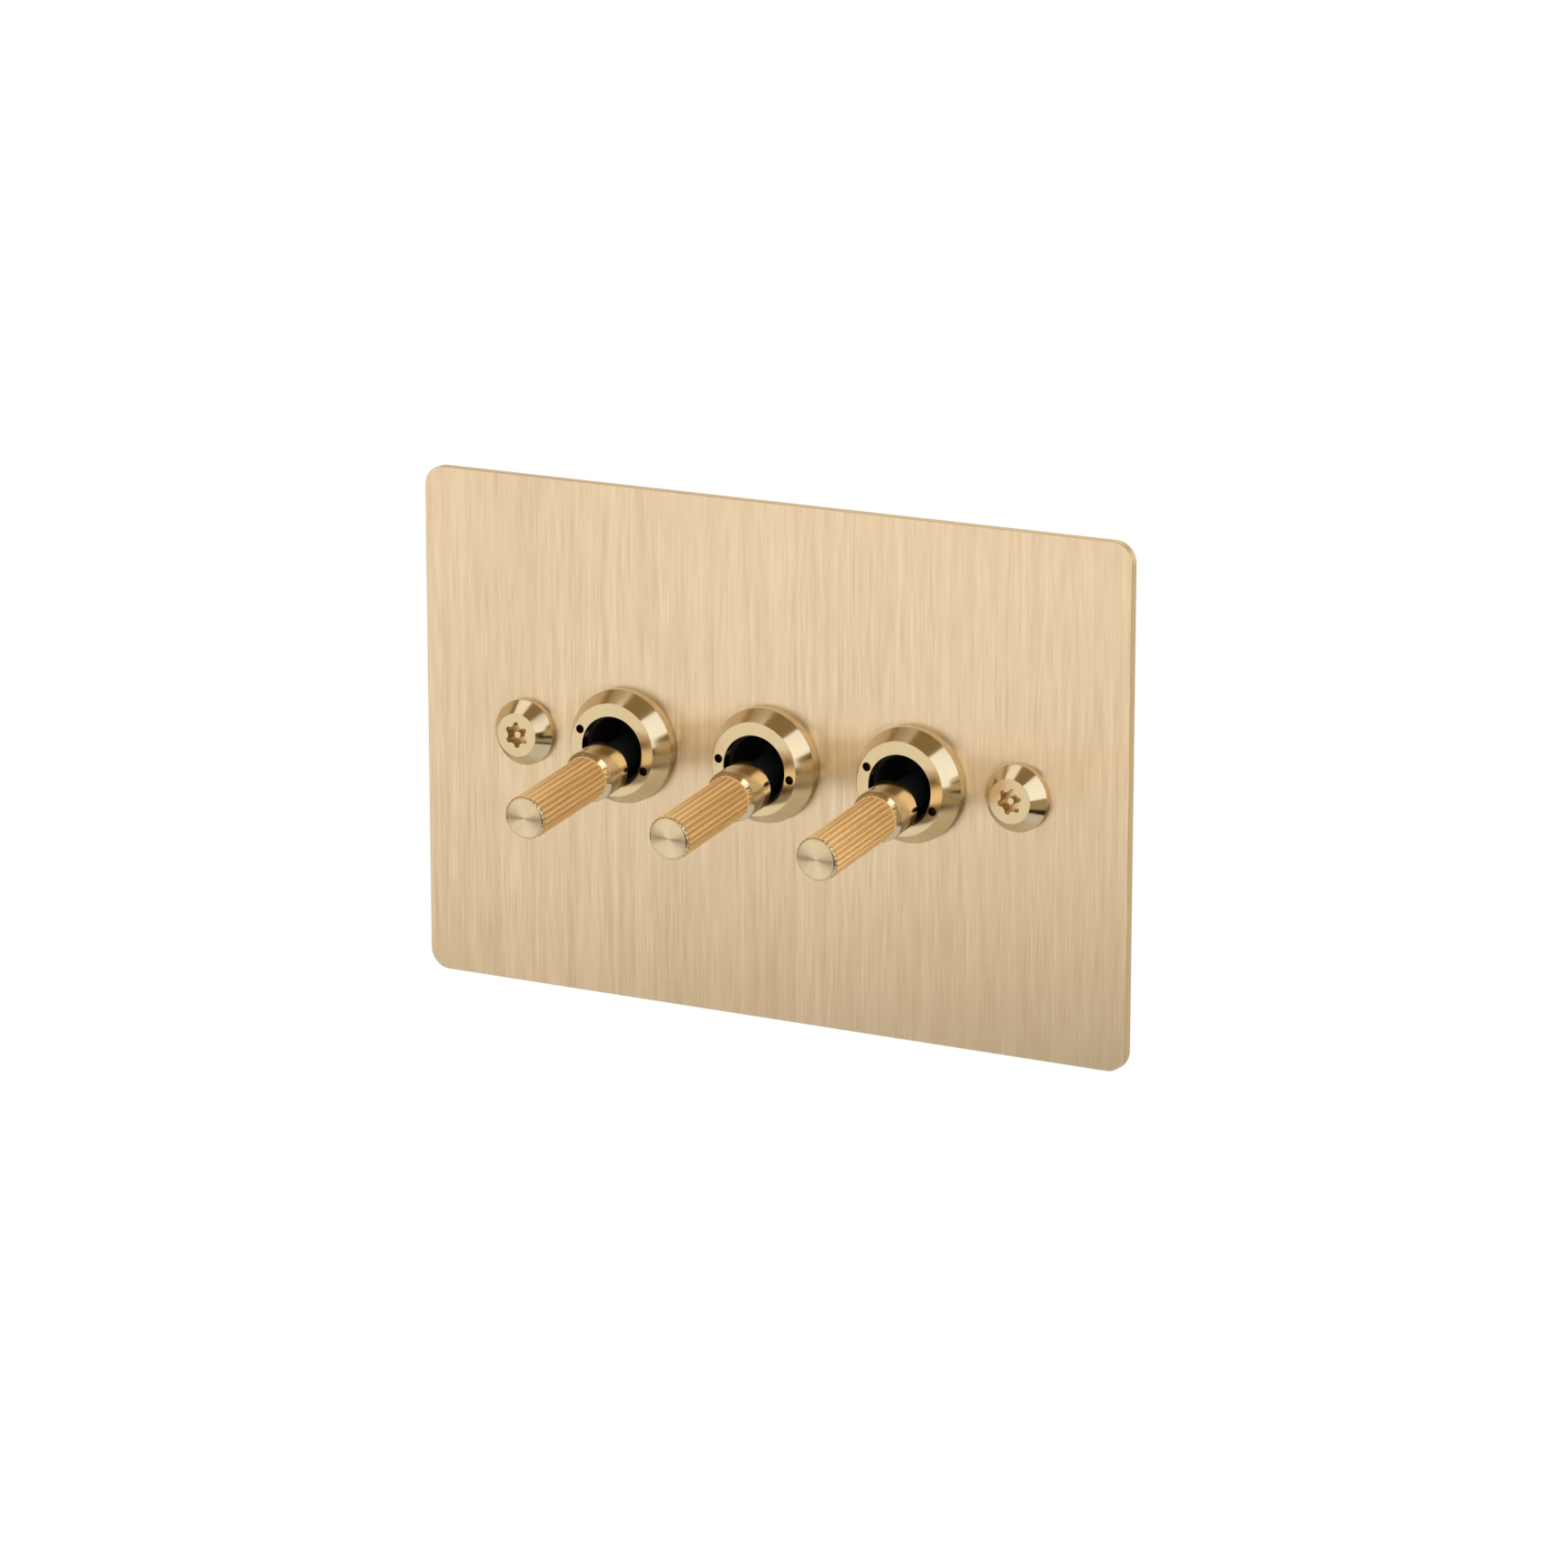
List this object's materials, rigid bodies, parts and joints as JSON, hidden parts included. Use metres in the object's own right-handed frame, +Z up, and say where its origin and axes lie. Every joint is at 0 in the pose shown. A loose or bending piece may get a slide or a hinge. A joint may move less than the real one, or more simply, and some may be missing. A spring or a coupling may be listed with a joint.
{
  "type": "toggle light switch",
  "caption": "Brushed brass wall plate with knurled toggle levers in bevelled collars, changeover switch mechanisms with screw terminals behind it, and screws at its sides for a wall box.",
  "frame": {"origin": "centre of the face plate on the wall plane, which is the plane of the plate's back rim", "axes": "+X to the right seen from the front, +Y into the wall, +Z up; the toggles point to -Y"},
  "size_m": [0.1194, 0.0624, 0.079],
  "materials": {
    "brushed_brass": "satin",
    "polished_brass": "gloss",
    "terminal_brass": "satin",
    "black_metal": "matte",
    "zinc_steel": "satin",
    "black_nylon": "matte",
    "grey_plastic": "matte",
    "white_nylon": "matte"
  },
  "bodies": {
    "switch_plate": {"face_plate": "brushed_brass", "mounting_strap": "zinc_steel", "fixing_screws": "polished_brass", "earth_terminal": "terminal_brass", "earth_screw": "zinc_steel", "collar_left": "polished_brass", "bush_left": "black_metal", "housing_left": "black_nylon", "pivot_pin_left": "zinc_steel", "terminal_base_left": "grey_plastic", "case_screws_left": "zinc_steel", "upper_terminal_left": "terminal_brass", "lower_terminal_left": "terminal_brass", "common_terminal_left": "terminal_brass", "terminal_screws_left": "zinc_steel", "collar_middle": "polished_brass", "bush_middle": "black_metal", "housing_middle": "black_nylon", "pivot_pin_middle": "zinc_steel", "terminal_base_middle": "grey_plastic", "case_screws_middle": "zinc_steel", "upper_terminal_middle": "terminal_brass", "lower_terminal_middle": "terminal_brass", "common_terminal_middle": "terminal_brass", "terminal_screws_middle": "zinc_steel", "collar_right": "polished_brass", "bush_right": "black_metal", "housing_right": "black_nylon", "pivot_pin_right": "zinc_steel", "terminal_base_right": "grey_plastic", "case_screws_right": "zinc_steel", "upper_terminal_right": "terminal_brass", "lower_terminal_right": "terminal_brass", "common_terminal_right": "terminal_brass", "terminal_screws_right": "zinc_steel"},
    "toggle_left": {"toggle_knob_left": "polished_brass", "toggle_lever_left": "black_nylon", "plunger_spring_left": "zinc_steel"},
    "plunger_left": {"plunger_left": "white_nylon"},
    "rocker_left": {"rocker_contact_left": "terminal_brass"},
    "toggle_middle": {"toggle_knob_middle": "polished_brass", "toggle_lever_middle": "black_nylon", "plunger_spring_middle": "zinc_steel"},
    "plunger_middle": {"plunger_middle": "white_nylon"},
    "rocker_middle": {"rocker_contact_middle": "terminal_brass"},
    "toggle_right": {"toggle_knob_right": "polished_brass", "toggle_lever_right": "black_nylon", "plunger_spring_right": "zinc_steel"},
    "plunger_right": {"plunger_right": "white_nylon"},
    "rocker_right": {"rocker_contact_right": "terminal_brass"}
  },
  "joints": [
    {"name": "toggle_left_throw", "type": "hinge", "parent": "switch_plate", "child": "toggle_left", "pos_m": [-0.0245, 0.0085, 0], "axis": [-1, 0, 0], "range_deg": [0, 14.4]},
    {"name": "plunger_left_travel", "type": "slide", "parent": "toggle_left", "child": "plunger_left", "axis": [0, -0.9921, -0.1253], "range_m": [0, 0.0006], "stiffness_N_per_m": 400, "springref_m": -0.002, "deforming": ["plunger_spring_left"]},
    {"name": "rocker_left_tilt", "type": "hinge", "parent": "switch_plate", "child": "rocker_left", "pos_m": [-0.0245, 0.02058, 0], "axis": [1, 0, 0], "range_deg": [0, 28.8]},
    {"name": "toggle_middle_throw", "type": "hinge", "parent": "switch_plate", "child": "toggle_middle", "pos_m": [0, 0.0085, 0], "axis": [-1, 0, 0], "range_deg": [0, 14.4]},
    {"name": "plunger_middle_travel", "type": "slide", "parent": "toggle_middle", "child": "plunger_middle", "axis": [0, -0.9921, -0.1253], "range_m": [0, 0.0006], "stiffness_N_per_m": 400, "springref_m": -0.002, "deforming": ["plunger_spring_middle"]},
    {"name": "rocker_middle_tilt", "type": "hinge", "parent": "switch_plate", "child": "rocker_middle", "pos_m": [0, 0.02058, 0], "axis": [1, 0, 0], "range_deg": [0, 28.8]},
    {"name": "toggle_right_throw", "type": "hinge", "parent": "switch_plate", "child": "toggle_right", "pos_m": [0.0245, 0.0085, 0], "axis": [-1, 0, 0], "range_deg": [0, 14.4]},
    {"name": "plunger_right_travel", "type": "slide", "parent": "toggle_right", "child": "plunger_right", "axis": [0, -0.9921, -0.1253], "range_m": [0, 0.0006], "stiffness_N_per_m": 400, "springref_m": -0.002, "deforming": ["plunger_spring_right"]},
    {"name": "rocker_right_tilt", "type": "hinge", "parent": "switch_plate", "child": "rocker_right", "pos_m": [0.0245, 0.02058, 0], "axis": [1, 0, 0], "range_deg": [0, 28.8]}
  ],
  "couplings": [
    {"joint": "rocker_left_tilt", "follows": "toggle_left_throw", "ratio": 2},
    {"joint": "rocker_middle_tilt", "follows": "toggle_middle_throw", "ratio": 2},
    {"joint": "rocker_right_tilt", "follows": "toggle_right_throw", "ratio": 2}
  ]
}
